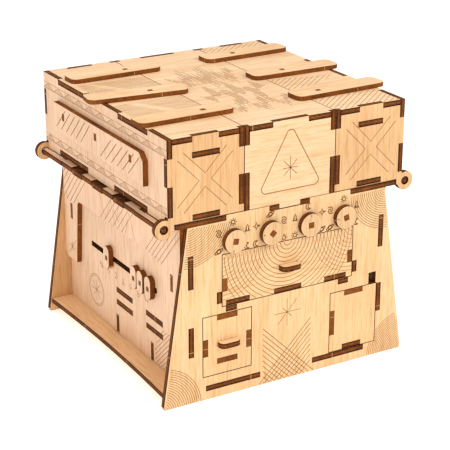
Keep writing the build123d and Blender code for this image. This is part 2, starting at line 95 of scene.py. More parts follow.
table_material = bpy.data.materials.new("white_table")
table_material.use_nodes = True
table_shader = table_material.node_tree.nodes["Principled BSDF"]
table_shader.inputs["Base Color"].default_value = (0.93, 0.93, 0.93, 1)
table_shader.inputs["Roughness"].default_value = 0.9
table_shader.inputs["Emission Color"].default_value = (1, 1, 1, 1)
table_shader.inputs["Emission Strength"].default_value = 0.42
table_mesh = bpy.data.meshes.new("table")
table_mesh.from_pydata([(-6, -6, 0), (6, -6, 0), (6, 6, 0), (-6, 6, 0)], [], [(0, 1, 2, 3)])
table_mesh.materials.append(table_material)
table = bpy.data.objects.new("table", table_mesh)
bpy.context.scene.collection.objects.link(table)

lens = bpy.data.cameras.new("camera")
lens.lens = 117.46
lens.sensor_width = 36.0
lens.clip_start, lens.clip_end = 0.05, 20
camera = bpy.data.objects.new("camera", lens)
camera_place, camera_target = Vector((-0.3941, -0.68115, 0.3716)), Vector((0.00247, -0.00075, 0.06566))
camera.location = camera_place
camera.rotation_euler = (camera_target - camera_place).to_track_quat("-Z", "Y").to_euler()
bpy.context.scene.collection.objects.link(camera)
bpy.context.scene.camera = camera

# ------------------------------------------------------------------ front and back panels
# Two tapered boards of 3 mm birch plywood, laser cut, with slots that the tabs of the inner boards
# fill. The cut edges are burnt brown, with small pale marks where the sheet's bridges were snapped.
MM = 0.001
RIM, BRIDGES = 0.14 * MM, 53 * MM        # width of the burnt rim, distance between the bridges
GRAIN = {"x": (0.055, 1, 1), "y": (1, 0.055, 1), "z": (1, 1, 0.055)}
PALE = {
    "front": ((0.840, 0.555, 0.290), (0.785, 0.485, 0.225)),
    "side": ((0.825, 0.560, 0.370), (0.765, 0.490, 0.300)),
    "wing": ((0.745, 0.460, 0.225), (0.650, 0.365, 0.150)),
    "centre": ((0.850, 0.570, 0.330), (0.800, 0.510, 0.265)),
    "level": ((0.900, 0.635, 0.400), (0.800, 0.520, 0.280)),
    "batten": ((0.890, 0.615, 0.365), (0.800, 0.500, 0.250)),
    "dial": ((0.730, 0.480, 0.255), (0.680, 0.420, 0.200)),
    "floor": ((0.920, 0.600, 0.330), (0.820, 0.500, 0.240)),
    "inner": ((0.740, 0.440, 0.210), (0.620, 0.340, 0.140)),
}


class Shading:
    """A material's node tree, written one node at a time."""

    def __init__(self, name):
        self.material = bpy.data.materials.new(name)
        self.material.use_nodes = True
        self.tree = self.material.node_tree
        self.shader = self.tree.nodes["Principled BSDF"]

    def add(self, kind, **settings):
        node = self.tree.nodes.new(kind)
        for key, value in settings.items():
            setattr(node, key, value)
        return node

    def link(self, source, target):
        self.tree.links.new(source, target)

    def noise(self, coordinates, scale, detail=2.0, rough=0.5, twist=0.0):
        node = self.add("ShaderNodeTexNoise")
        self.link(coordinates, node.inputs["Vector"])
        node.inputs["Scale"].default_value = scale
        node.inputs["Detail"].default_value = detail
        node.inputs["Roughness"].default_value = rough
        node.inputs["Distortion"].default_value = twist
        return node.outputs["Fac"]

    def ramp(self, factor, stops):
        node = self.add("ShaderNodeValToRGB")
        while len(node.color_ramp.elements) < len(stops):
            node.color_ramp.elements.new(0.5)
        for element, (place, colour) in zip(node.color_ramp.elements, stops):
            element.position = place
            element.color = (*colour, 1)
        self.link(factor, node.inputs["Fac"])
        return node.outputs["Color"]

    def mix(self, factor, first, second, blend="MIX"):
        node = self.add("ShaderNodeMix", data_type="RGBA", blend_type=blend)
        for value, socket in ((factor, node.inputs[0]), (first, node.inputs[6]), (second, node.inputs[7])):
            if isinstance(value, bpy.types.NodeSocket):
                self.link(value, socket)
            else:
                socket.default_value = value
        return node.outputs[2]

    def math(self, operation, first, second=0.0, third=0.0, clamp=False):
        node = self.add("ShaderNodeMath", operation=operation, use_clamp=clamp)
        for value, socket in zip((first, second, third), node.inputs):
            if isinstance(value, bpy.types.NodeSocket):
                self.link(value, socket)
            else:
                socket.default_value = value
        return node.outputs[0]

    def bump(self, height, strength, distance):
        node = self.add("ShaderNodeBump")
        node.inputs["Strength"].default_value = strength
        node.inputs["Distance"].default_value = distance
        self.link(height, node.inputs["Height"])
        self.link(node.outputs["Normal"], self.shader.inputs["Normal"])


def veneer(tone, grain):
    """Birch face veneer: broad bands and fine pores drawn out along the grain."""
    name = f"birch_{tone}_{grain}"
    if name in bpy.data.materials:
        return bpy.data.materials[name]
    s = Shading(name)
    light, dark = PALE[tone]
    where = s.add("ShaderNodeTexCoord").outputs["Object"]
    stretch = s.add("ShaderNodeMapping")
    stretch.inputs["Scale"].default_value = GRAIN[grain]
    s.link(where, stretch.inputs["Vector"])
    along = stretch.outputs["Vector"]
    bands = s.noise(along, 130, 3, 0.55, 0.6)
    streaks = s.noise(along, 760, 3, 0.65)
    pores = s.noise(along, 2300, 2, 0.7)
    cloud = s.noise(where, 28, 2)
    blend = s.math("MULTIPLY_ADD", streaks, 0.55, s.math("MULTIPLY", bands, 0.45))
    wood = s.ramp(blend, ((0.38, dark), (0.58, light)))
    shade = s.ramp(pores, ((0.32, (0.80, 0.70, 0.58)), (0.50, (1, 1, 1))))
    wood = s.mix(0.7, wood, shade, "MULTIPLY")
    fibres = s.ramp(streaks, ((0.30, (0.84, 0.75, 0.62)), (0.46, (1, 1, 1))))
    wood = s.mix(0.8, wood, fibres, "MULTIPLY")
    wash = s.ramp(cloud, ((0.35, (0.94, 0.91, 0.87)), (0.65, (1.03, 1.03, 1.03))))
    s.link(s.mix(0.8, wood, wash, "MULTIPLY"), s.shader.inputs["Base Color"])
    s.link(s.math("MULTIPLY_ADD", bands, 0.18, 0.46), s.shader.inputs["Roughness"])
    s.bump(s.math("ADD", pores, streaks), 0.25, 0.05 * MM)
    return s.material


def burnt_edge(name, skin, core, marks):
    """Laser-burnt edge: dark skins, a browner core, soot streaks and the pale marks of snapped bridges."""
    s = Shading(name)
    where = s.add("ShaderNodeTexCoord").outputs["Object"]
    layer = s.add("ShaderNodeAttribute", attribute_name="layer").outputs["Fac"]
    soot = s.noise(where, 900, 3, 0.65)
    blot = s.noise(where, 90, 2)
    plies = s.ramp(layer, ((0.0, skin), (0.16, skin), (0.30, core), (0.37, skin), (0.44, core), (0.62, core),
                           (0.68, skin), (0.76, core), (0.88, skin)))
    sooty = s.ramp(soot, ((0.30, (0.45, 0.40, 0.36)), (0.62, (1.15, 1.1, 1.05))))
    blotted = s.ramp(blot, ((0.35, (0.60, 0.55, 0.52)), (0.65, (1.2, 1.15, 1.1))))
    burn = s.mix(0.75, plies, sooty, "MULTIPLY")
    burn = s.mix(0.6, burn, blotted, "MULTIPLY")
    if marks:
        sheet = s.add("ShaderNodeAttribute", attribute_name="sheet").outputs["Vector"]
        away = s.add("ShaderNodeVectorMath", operation="DOT_PRODUCT")
        s.link(where, away.inputs[0])
        s.link(sheet, away.inputs[1])
        lift = s.add("ShaderNodeVectorMath", operation="SCALE")
        s.link(sheet, lift.inputs[0])
        s.link(away.outputs["Value"], lift.inputs["Scale"])
        level = s.add("ShaderNodeVectorMath", operation="SUBTRACT")
        s.link(where, level.inputs[0])
        s.link(lift.outputs["Vector"], level.inputs[1])
        run = s.add("ShaderNodeVectorMath", operation="DOT_PRODUCT")
        s.link(level.outputs["Vector"], run.inputs[0])
        run.inputs[1].default_value = (1, 1, 1)
        beat = s.math("FRACT", s.math("MULTIPLY_ADD", run.outputs["Value"], 1 / BRIDGES, 0.31))
        mark = s.math("LESS_THAN", s.math("ABSOLUTE", s.math("SUBTRACT", beat, 0.5)), 0.14 * MM / BRIDGES)
        burn = s.mix(mark, burn, (0.58, 0.34, 0.15, 1))
    s.link(burn, s.shader.inputs["Base Color"])
    s.shader.inputs["Roughness"].default_value = 0.8
    s.shader.inputs["Specular IOR Level"].default_value = 0.12
    s.bump(soot, 0.5, 0.06 * MM)
    return s.material


cut_edge = burnt_edge("burnt_edge", (0.034, 0.0055, 0.0006), (0.235, 0.075, 0.012), True)
rim_burn = burnt_edge("burnt_rim", (0.060, 0.0140, 0.0020), (0.095, 0.026, 0.0040), False)


def islands(shape):
    """The separate boards and pegs of one copied mesh, as lists of corners in a fixed order."""
    seen = set()
    for first in shape.verts:
        if first in seen:
            continue
        seen.add(first)
        found = [first]
        for v in found:
            for e in v.link_edges:
                other = e.other_vert(v)
                if other not in seen:
                    seen.add(other)
                    found.append(other)
        yield found


def sheet_direction(faces):
    """Normal of the sheet a piece was cut from. Most of the piece's area looks roughly that way, and of
    that area most shares it exactly. Its largest part is positive, so every run finds the same one."""
    normals = np.array([f.normal[:] for f in faces])
    areas = np.array([f.calc_area() for f in faces])
    likeness = np.abs(normals @ normals.T)
    roughly, exactly = likeness > 0.995, likeness > 1 - 1e-6
    flat = roughly[np.argmax(roughly @ areas)]
    sheet = Vector(normals[np.argmax(np.where(flat, exactly @ areas, 0))])
    return sheet if max(sheet, key=abs) > 0 else -sheet


CORE_LAYER = 0.5         # where boards are glued into one piece, their edges show the core alone


def finish_board(node, tone, grain):
    """The board as it comes from the laser: pale faces, burnt edges and a fine burnt rim between them."""
    shape = bmesh.new()
    shape.from_mesh(frame["nodes"][node].data)
    bmesh.ops.remove_doubles(shape, verts=shape.verts, dist=1e-6)
    bmesh.ops.dissolve_limit(shape, angle_limit=radians(0.5), verts=shape.verts, edges=shape.edges)
    peg_end = shape.faces.layers.int.new("peg_end")
    for f in shape.faces:
        f[peg_end] = all(len(e.link_faces) > 2 for e in f.edges)
    bmesh.ops.triangulate(shape, faces=shape.faces[:])
    corners = [e for e in shape.edges if len(e.link_faces) == 2 and e.calc_face_angle(0) > radians(40)]
    bmesh.ops.bevel(shape, geom=corners, offset=RIM, segments=1, affect="EDGES", clamp_overlap=False,
                    material=2)
    sheet_layer = shape.verts.layers.float_vector.new("sheet")
    depth_layer = shape.verts.layers.float.new("layer")
    for board in islands(shape):
        faces = list(dict.fromkeys(f for v in board for f in v.link_faces))
        sheet = sheet_direction([f for f in faces if f.material_index != 2])
        depths = [v.co.dot(sheet) for v in board]
        low, high = min(depths), max(depths)
        one_sheet = high - low < 5 * MM
        for v in board:
            v[sheet_layer] = sheet
            v[depth_layer] = (v.co.dot(sheet) - low) / (high - low) if one_sheet else CORE_LAYER
        for f in faces:
            if f.material_index != 2:
                pale = abs(f.normal.dot(sheet)) > 0.9 and not f[peg_end]
                f.material_index = 0 if pale else 1
    for e in shape.edges:
        e.smooth = len(e.link_faces) == 2 and e.calc_face_angle(0) < radians(30)
    for f in shape.faces:
        f.smooth = True
    mesh = bpy.data.meshes.new(f"{node}_board")
    shape.to_mesh(mesh)
    shape.free()
    for material in (veneer(tone, grain), cut_edge, rim_burn):
        mesh.materials.append(material)
    piece = bpy.data.objects.new(f"{node}_board", mesh)
    bpy.context.scene.collection.objects.link(piece)
    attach(piece, frame["nodes"][node]["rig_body"])
    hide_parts(node)
    return piece


finish_board("front_panel", "front", "z")
# The back panel takes the darker wing tone as painted shade, for the strip of it seen behind the side frame,
# which lies in shadow.
finish_board("back_panel", "wing", "z")

# ------------------------------------------------------------------ engraving of the front panel
# Fine lines burnt into the veneer by the laser at low power: fans of arcs in the four corners, a
# crossed pair of ruled bands and an eight-armed star. Each line is a flat strip, brown and matt.
RISE = 0.03 * MM
front_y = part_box("front_panel")[0].y
scorch = Shading("engraved_line")
scorch_noise = scorch.noise(scorch.add("ShaderNodeTexCoord").outputs["Object"], 700, 2)
scorch.link(scorch.ramp(scorch_noise, ((0.3, (0.185, 0.072, 0.018)), (0.7, (0.30, 0.125, 0.035)))),
            scorch.shader.inputs["Base Color"])
scorch.shader.inputs["Roughness"].default_value = 0.8
scorch.shader.inputs["Specular IOR Level"].default_value = 0.12
line_burn = scorch.material


def new_tree(name, sockets):
    """An empty Geometry Nodes tree with named inputs and one geometry output."""
    tree = bpy.data.node_groups.new(name, "GeometryNodeTree")
    for socket, kind in sockets:
        tree.interface.new_socket(socket, in_out="INPUT", socket_type=kind)
    tree.interface.new_socket("Geometry", in_out="OUTPUT", socket_type="NodeSocketGeometry")
    return tree, tree.nodes.new("NodeGroupInput"), tree.nodes.new("NodeGroupOutput")


def node_of(tree, kind, links, **settings):
    """Adds a node, sets it up and feeds its inputs from sockets or plain values."""
    node = tree.nodes.new(kind)
    for key, value in settings.items():
        setattr(node, key, value)
    for name, value in links.items():
        socket = node.inputs[name]
        if isinstance(value, bpy.types.NodeSocket):
            tree.links.new(value, socket)
        else:
            socket.default_value = value
    return node


def strips(tree, curve, given, output):
    """Turns curves into flat strips of the asked width, and ends the tree."""
    lie = node_of(tree, "GeometryNodeSetCurveNormal", {"Curve": curve}, mode="Z_UP")
    profile = node_of(tree, "GeometryNodeCurvePrimitiveQuadrilateral",
                      {"Width": given.outputs["Line width"], "Height": given.outputs["Thickness"]})
    sweep = node_of(tree, "GeometryNodeCurveToMesh", {
        "Curve": lie.outputs["Curve"], "Profile Curve": profile.outputs["Curve"], "Fill Caps": True})
    real = node_of(tree, "GeometryNodeRealizeInstances", {"Geometry": sweep.outputs["Mesh"]})
    burnt = node_of(tree, "GeometryNodeSetMaterial", {
        "Geometry": real.outputs["Geometry"], "Material": given.outputs["Burn"]})
    tree.links.new(burnt.outputs["Geometry"], output.inputs["Geometry"])
    return tree


STRIP = (("Line width", "NodeSocketFloat"), ("Thickness", "NodeSocketFloat"), ("Burn", "NodeSocketMaterial"))


def drawn_lines_tree():
    tree, given, output = new_tree("drawn_lines", (("Drawing", "NodeSocketGeometry"), *STRIP))
    curve = node_of(tree, "GeometryNodeMeshToCurve", {"Mesh": given.outputs["Drawing"]})
    return strips(tree, curve.outputs["Curve"], given, output)


def ruled_lines_tree():
    """Evenly spaced straight lines, from a first one to a last one."""
    tree, given, output = new_tree("ruled_lines", (
        ("Drawing", "NodeSocketGeometry"), ("Count", "NodeSocketInt"), ("First start", "NodeSocketVector"),
        ("First end", "NodeSocketVector"), ("Last start", "NodeSocketVector"),
        ("Last end", "NodeSocketVector"), *STRIP))
    points = node_of(tree, "GeometryNodePoints", {"Count": given.outputs["Count"]})
    line = node_of(tree, "GeometryNodeCurvePrimitiveLine", {"End": (1, 0, 0)})
    rows = node_of(tree, "GeometryNodeInstanceOnPoints", {
        "Points": points.outputs[0], "Instance": line.outputs["Curve"]})
    index = node_of(tree, "GeometryNodeInputIndex", {})
    marked = node_of(tree, "GeometryNodeStoreNamedAttribute", {
        "Geometry": rows.outputs["Instances"], "Name": "row", "Value": index.outputs[0]},
        data_type="FLOAT", domain="INSTANCE")
    real = node_of(tree, "GeometryNodeRealizeInstances", {"Geometry": marked.outputs["Geometry"]})
    row = node_of(tree, "GeometryNodeInputNamedAttribute", {"Name": "row"}, data_type="FLOAT")
    last = node_of(tree, "ShaderNodeMath", {0: given.outputs["Count"], 1: 1.0}, operation="SUBTRACT")
    share = node_of(tree, "ShaderNodeMath", {0: row.outputs["Attribute"], 1: last.outputs[0]},
                    operation="DIVIDE")
    along = node_of(tree, "GeometryNodeSplineParameter", {})

    def between(factor, first, second):
        mix = node_of(tree, "ShaderNodeMix", {0: factor, 4: first, 5: second}, data_type="VECTOR")
        return mix.outputs[1]

    starts = between(share.outputs[0], given.outputs["First start"], given.outputs["Last start"])
    ends = between(share.outputs[0], given.outputs["First end"], given.outputs["Last end"])
    placed = node_of(tree, "GeometryNodeSetPosition", {
        "Geometry": real.outputs["Geometry"],
        "Position": between(along.outputs["Factor"], starts, ends)})
    return strips(tree, placed.outputs["Geometry"], given, output)


def ring_fan_tree():
    """Concentric rings, cut off where they leave a four-sided field."""
    sides = [(f"Side {n} {what}", "NodeSocketVector") for n in (1, 2, 3, 4) for what in ("point", "outward")]
    tree, given, output = new_tree("ring_fan", (
        ("Drawing", "NodeSocketGeometry"), ("Count", "NodeSocketInt"), ("Pitch", "NodeSocketFloat"),
        ("Centre", "NodeSocketVector"), *sides, *STRIP))
    points = node_of(tree, "GeometryNodePoints", {
        "Count": given.outputs["Count"], "Position": given.outputs["Centre"]})
    ring = node_of(tree, "GeometryNodeCurvePrimitiveCircle", {"Resolution": 220, "Radius": 1.0})
    index = node_of(tree, "GeometryNodeInputIndex", {})
    radius = node_of(tree, "ShaderNodeMath", {
        0: index.outputs[0], 1: given.outputs["Pitch"], 2: given.outputs["Pitch"]}, operation="MULTIPLY_ADD")
    rings = node_of(tree, "GeometryNodeInstanceOnPoints", {
        "Points": points.outputs[0], "Instance": ring.outputs["Curve"], "Scale": radius.outputs[0]})
    real = node_of(tree, "GeometryNodeRealizeInstances", {"Geometry": rings.outputs["Instances"]})
    wire = node_of(tree, "GeometryNodeCurveToMesh", {"Curve": real.outputs["Geometry"]})
    here = node_of(tree, "GeometryNodeInputPosition", {})
    outside = None
    for n in (1, 2, 3, 4):
        away = node_of(tree, "ShaderNodeVectorMath", {
            0: here.outputs[0], 1: given.outputs[f"Side {n} point"]}, operation="SUBTRACT")
        depth = node_of(tree, "ShaderNodeVectorMath", {
            0: away.outputs[0], 1: given.outputs[f"Side {n} outward"]}, operation="DOT_PRODUCT")
        if outside is None:
            outside = depth.outputs["Value"]
        else:
            outside = node_of(tree, "ShaderNodeMath", {0: outside, 1: depth.outputs["Value"]},
                              operation="MAXIMUM").outputs[0]
    beyond = node_of(tree, "ShaderNodeMath", {0: outside, 1: 0.0}, operation="GREATER_THAN")
    kept = node_of(tree, "GeometryNodeDeleteGeometry", {
        "Geometry": wire.outputs["Mesh"], "Selection": beyond.outputs[0]}, domain="POINT", mode="ALL")
    curve = node_of(tree, "GeometryNodeMeshToCurve", {"Mesh": kept.outputs[0]})
    return strips(tree, curve.outputs["Curve"], given, output)


drawn_lines, ruled_lines, ring_fan = drawn_lines_tree(), ruled_lines_tree(), ring_fan_tree()


def face_plane(node, towards):
    """Matrix that lays a drawing in millimetres on a board's outer face. Widths run along X or, on the
    sides, from the front face backwards; heights are over the table, or from the front on a level board."""
    low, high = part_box(node)
    axis = "xyz".index(towards[1])
    level = (low if towards[0] == "-" else high)[axis]
    columns = {0: ((0, MM, 0), (0, 0, MM)), 1: ((MM, 0, 0), (0, 0, MM)), 2: ((MM, 0, 0), (0, MM, 0))}[axis]
    outward = [0, 0, 0]
    outward[axis] = -1 if towards[0] == "-" else 1
    place = Matrix((columns[0], columns[1], outward)).transposed().to_4x4()
    start = [0, front_y, 0]
    start[axis] = level
    place.translation = start
    return place


def engrave(name, node, towards, tree, width, drawing=(), **sizes):
    """Runs a tree of lines and keeps the plain strips it gives, laid on the face of a node's board."""
    mesh = bpy.data.meshes.new(name)
    corners, edges = [], []
    for line in drawing:
        edges += [(len(corners) + i, len(corners) + i + 1) for i in range(len(line) - 1)]
        corners += [(*point, 0) for point in line]
    mesh.from_pydata(corners, edges, [])
    lines = bpy.data.objects.new(name, mesh)
    bpy.context.scene.collection.objects.link(lines)
    modifier = lines.modifiers.new("lines", "NODES")
    modifier.node_group = tree
    values = {"Line width": width, "Thickness": 2 * RISE, "Burn": line_burn}
    values.update({key.replace("_", " "): value for key, value in sizes.items()})
    for item in tree.interface.items_tree:
        if item.in_out == "INPUT" and item.name in values:
            modifier[item.identifier] = values[item.name]
    plain = bpy.data.meshes.new_from_object(lines.evaluated_get(bpy.context.evaluated_depsgraph_get()))
    lines.modifiers.clear()
    plain.materials.clear()
    plain.materials.append(line_burn)
    place = face_plane(node, towards)
    plain.transform(place)
    if place.determinant() < 0:
        plain.flip_normals()
    lines.data = plain
    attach(lines, frame["nodes"][node]["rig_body"])
    return lines


def flat_vector(u, v):
    return (float(u), float(v), 0.0)


def rule(name, node, towards, width, count, first, last):
    """Evenly spaced lines between a first and a last one, each given by its two ends."""
    (a, b), (c, d) = first, last
    return engrave(name, node, towards, ruled_lines, width, Count=count, First_start=flat_vector(*a),
                   First_end=flat_vector(*b), Last_start=flat_vector(*c), Last_end=flat_vector(*d))


def fan(name, node, towards, width, count, pitch, centre, field):
    """Concentric rings round a centre, kept inside a field given by its corners, anticlockwise."""
    sizes = {}
    for n in range(4):
        a, b = Vector(field[n]), Vector(field[(n + 1) % 4])
        outward = Vector((b.y - a.y, a.x - b.x)).normalized()
        sizes[f"Side_{n + 1}_point"] = flat_vector(*a)
        sizes[f"Side_{n + 1}_outward"] = flat_vector(*outward)
    return engrave(name, node, towards, ring_fan, width, Count=count, Pitch=float(pitch),
                   Centre=flat_vector(*centre), **sizes)


FINE, LINE, BOLD = 0.28, 0.34, 0.62
foot = -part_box("front_panel")[0].x / MM - 0.7
shoulder = foot - 15.1
under_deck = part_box("deck_plate")[0].z / MM - 0.2
panel_field = ((-foot, 0.2), (foot, 0.2), (shoulder, under_deck), (-shoulder, under_deck))
drawer_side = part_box("right_drawer_front")[1].x / MM + 0.5
drawer_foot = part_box("right_drawer_front")[0].z / MM - 0.5
beside_drawer = ((drawer_side, 0.2), (foot, 0.2), (shoulder, under_deck), (drawer_side, under_deck))
under_drawer = ((drawer_side - 7, 0.2), (drawer_side, 0.2), (drawer_side, drawer_foot),
                (drawer_side - 7, drawer_foot))
for name, centre, count, field in (
        ("low_left", (-79.4, -1.2), 20, panel_field), ("high_left", (-61.5, 104.7), 21, panel_field),
        ("low_right", (77.5, -0.6), 19, beside_drawer), ("low_right_foot", (77.5, -0.6), 19, under_drawer),
        ("high_right", (61.9, 99.8), 18, panel_field)):
    fan(f"front_fan_{name}", "front_panel", "-y", FINE, count, 1.26, centre, field)
rule("front_band_falling", "front_panel", "-y", LINE, 11, ((-15.9, 33.4), (17.2, 0.6)),
     ((-15.6, 1.4), (-14.8, 0.6)))
rule("front_band_rising", "front_panel", "-y", LINE, 9, ((14.8, 33.3), (-17.8, 0.6)),
     ((14.9, 7.4), (8.2, 0.6)))


def star(centre, arms):
    """Lines through a centre, each given by its angle and its reach both ways."""
    u, v = centre
    return [[(u + cos(a) * far, v + sin(a) * far), (u - cos(a) * near, v - sin(a) * near)]
            for a, far, near in arms]


eight = star((-0.6, 40.0), ((pi / 2, 8.0, 8.1), (radians(47), 9.0, 8.7), (0.0, 8.7, 7.9),
                            (radians(135), 4.3, 4.3)))
engrave("front_star", "front_panel", "-y", drawn_lines, FINE, eight)

# ------------------------------------------------------------------ side boards and their frames
# The side panels are tabbed through the front and back. Each carries a glued arch-shaped frame that
# two dowels hold. Their grain runs upright, and the birch is a little pinker than the front's.
for side in ("left", "right"):
    finish_board(f"{side}_side_panel", "side", "z")
    finish_board(f"{side}_side_frame", "side", "z")


def hatch(field, angle, pitch):
    """Parallel lines at an angle, cut off at the border of a convex field."""
    along = Vector((cos(angle), sin(angle)))
    across = Vector((-along.y, along.x))
    offsets = [across.dot(Vector(corner)) for corner in field]
    lines, offset = [], min(offsets) + pitch / 2
    while offset < max(offsets):
        ends = []
        for n, corner in enumerate(field):
            a, b = Vector(corner), Vector(field[(n + 1) % len(field)])
            depth_a, depth_b = across.dot(a) - offset, across.dot(b) - offset
            if depth_a * depth_b < 0:
                ends.append(a.lerp(b, depth_a / (depth_a - depth_b)))
        if len(ends) == 2:
            lines.append([tuple(ends[0]), tuple(ends[1])])
        offset += pitch
    return lines


def ring(centre, radius, first=0.0, turn=2 * pi, steps=24, squash=1.0, lean=0.0):
    """An arc or a whole ring; squash flattens it and lean turns the flattened ring."""
    points = []
    for i in range(steps + 1):
        a = first + turn * i / steps
        x, y = radius * cos(a), radius * squash * sin(a)
        points.append((centre[0] + x * cos(lean) - y * sin(lean), centre[1] + x * sin(lean) + y * cos(lean)))
    return points


BEHIND_SLANT = radians(133)
frame_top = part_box("left_side_frame")[1].z / MM - 0.4
panel_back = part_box("left_side_frame")[1].y / MM - front_y / MM
corner_fields = (
    (((130.5, 71.5), (panel_back - 0.3, 71.5), (panel_back - 0.3, frame_top), (102.5, frame_top)), 3.4),
    (((3.3, 91), (22.8, 72.5), (43.5, 75.2), (18.5, frame_top), (3.3, frame_top)), 2.9),
    (((69.6, 75.2), (98.9, 75.2), (76.6, frame_top), (47.6, frame_top)), 3.9))
foot_field = ((3.3, 8.4), (37.5, 8.4), (38.9, 16.0), (29.0, 35.0), (3.3, 59.0))
frame_lines = [line for field, pitch in corner_fields for line in hatch(field, BEHIND_SLANT, pitch)]
frame_lines += [[(104, 99), (90, 76.2), (83.3, 89.3), (78.2, 76.0), (71, 96)],
                [(65.8, 76.0), (60.7, 89.4), (54.2, 75.6)], [(79.4, 85.4), (73.5, 79.7)]]
frame_star = star((137.4, 43.1), ((BEHIND_SLANT, 8.0, 8.0), (radians(15), 3.8, 3.8), (pi / 2, 3.0, 3.0)))
for side, towards in (("left", "-x"), ("right", "+x")):
    engrave(f"{side}_frame_hatching", f"{side}_side_frame", towards, drawn_lines, FINE,
            frame_lines + frame_star)
    engrave(f"{side}_foot_hatching", f"{side}_side_panel", towards, drawn_lines, FINE,
            hatch(foot_field, radians(137), 2.1))


def spark(u, v, size):
    """Four-pointed star with hollow sides."""
    points = [(u + size * r * cos(pi / 4 * i), v + size * r * sin(pi / 4 * i))
              for i, r in enumerate((1, 0.3) * 4)]
    return [points + points[:1]]


def ringed_planet(u, v, size):
    return [ring((u, v), 0.5 * size), ring((u, v), 1.15 * size, 0, 2 * pi, 24, 0.34, 0.5)]


def moon(u, v, size):
    return [ring((u, v), 0.8 * size, 1.2, 3.9, 14) + ring((u + 0.4 * size, v), 0.62 * size, 4.9, -3.4, 12)]


def sun(u, v, size):
    rays = [[(u + 0.7 * size * cos(a), v + 0.7 * size * sin(a)), (u + size * cos(a), v + size * sin(a))]
            for a in (pi / 4 * i for i in range(8))]
    return [ring((u, v), 0.48 * size, 0, 2 * pi, 14)] + rays


def galaxy(u, v, size):
    return [[(u + size * t * cos(5.5 * t + k * pi), v + size * t * sin(5.5 * t + k * pi))
             for t in (i / 12 for i in range(1, 13))] for k in (0, 1)]


def probe(u, v, size):
    """Small craft: a pointed hull with two fins."""
    hull = [(-0.3, -0.7), (-0.3, 0.3), (0, 1), (0.3, 0.3), (0.3, -0.7), (-0.3, -0.7)]
    fins = [[(-0.3, -0.2), (-0.7, -0.8), (-0.3, -0.7)], [(0.3, -0.2), (0.7, -0.8), (0.3, -0.7)]]
    return [[(u + size * a, v + size * b) for a, b in line] for line in [hull] + fins]


SIGNS = (ringed_planet, spark, moon, probe, sun, galaxy)
slot_signs = []
for i in range(7):
    slot_signs += SIGNS[i % len(SIGNS)](104 - 9.3 * i, 43.0 - 0.6 * (i % 2), 2.3)
slot_signs += [ring((112, 24), r, steps=40) for r in (8.8, 9.8)] + star(
    (112, 24), [(pi / 4 * i, 6.5, 6.5) for i in range(4)])
engrave("left_slot_signs", "left_side_panel", "-x", drawn_lines, 0.24, slot_signs)

# ------------------------------------------------------------------ level boards inside the body
# Bottom plate, drawer shelf, partitions, the left drawer's cradle and the board behind the dials:
# plain plywood that only shows beside the body and when a drawer is out.
finish_board("bottom_plate", "floor", "y")
for node, grain in (("middle_shelf", "x"), ("drawer_partitions", "y"), ("left_drawer_cradle", "y"),
                    ("axle_plate", "x")):
    finish_board(node, "inner", grain)

# ------------------------------------------------------------------ deck with its hinge rods
# The deck lies on the body. A square rod along each long edge, with a row of sawn knuckles, goes
# through the ring eyes of the wing boxes and makes their hinge.
deck = finish_board("deck_plate", "side", "y")
deck_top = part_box("deck_plate")[1].z
for face in deck.data.polygons:
    if face.normal.z > 0.9 and face.center.z < deck_top - 0.2 * MM:
        face.material_index = 1        # the upward faces of the lower knuckles take the dark cut-edge colour

# ------------------------------------------------------------------ centre box
# The fixed box in the middle of the roof: two upright panels, two walls and a lid of 3 mm birch
# plywood, finger-jointed and glued, and tabbed down into the deck.
for node in ("center_front_panel", "center_back_panel"):
    finish_board(node, "centre", "x")
finish_board("center_walls", "inner", "y")
finish_board("center_top_plate", "level", "x")


def rounded(corners, radius):
    """Outline of a triangle with rounded corners."""
    line = []
    for n, corner in enumerate(corners):
        here, before, behind = Vector(corner), Vector(corners[n - 1]), Vector(corners[(n + 1) % 3])
        to_before, to_behind = (before - here).normalized(), (behind - here).normalized()
        half = to_before.angle(to_behind) / 2
        centre = here + (to_before + to_behind).normalized() * radius / sin(half)
        start = here + to_before * radius / tan(half) - centre
        end = here + to_behind * radius / tan(half) - centre
        for i in range(9):
            arm = start.lerp(end, i / 8).normalized() * radius
            line.append(tuple(centre + arm))
    return line + line[:1]


engrave("panel_triangle", "center_front_panel", "-y", drawn_lines, 0.45,
        [rounded(((0, 146.1), (-19.5, 110.5), (19.5, 110.5)), 2.6)])
engrave("panel_triangle_star", "center_front_panel", "-y", drawn_lines, LINE,
        star((0, 122.5), [(pi / 4 * i, reach, reach) for i, reach in enumerate((4.6, 5.6, 6.4, 5.6))]))

sky = []
for i in range(44):
    x = -21.5 + i
    for middle, reach, k in ((92, 17, 1.9), (58, 14, 2.7), (33, 9, 1.3)):
        half = reach * abs(sin(k * i)) * cos(pi * (x - 1) / 50)
        y = middle + 7 * sin(0.45 * i + k)
        sky.append([(x, y - half), (x, y + half)])
engrave("roof_sky", "center_top_plate", "+z", drawn_lines, FINE, sky)

# ------------------------------------------------------------------ wing boxes
# Two finger-jointed boxes that swing out sideways. Each has end panels with a ring eye, an outer wall
# with a pegged trim plate, an inner wall, a floor, a shelf and a roof plate.
for side in ("left", "right"):
    finish_board(f"{side}_wing_front", "wing", "z")
    finish_board(f"{side}_wing_back", "wing", "z")
    finish_board(f"{side}_wing_outer_wall", "side", "z")
    finish_board(f"{side}_wing_side_plate", "side", "z")
    finish_board(f"{side}_wing_inner_wall", "inner", "y")
    finish_board(f"{side}_wing_floor", "inner", "y")
    finish_board(f"{side}_wing_top", "level", "x")

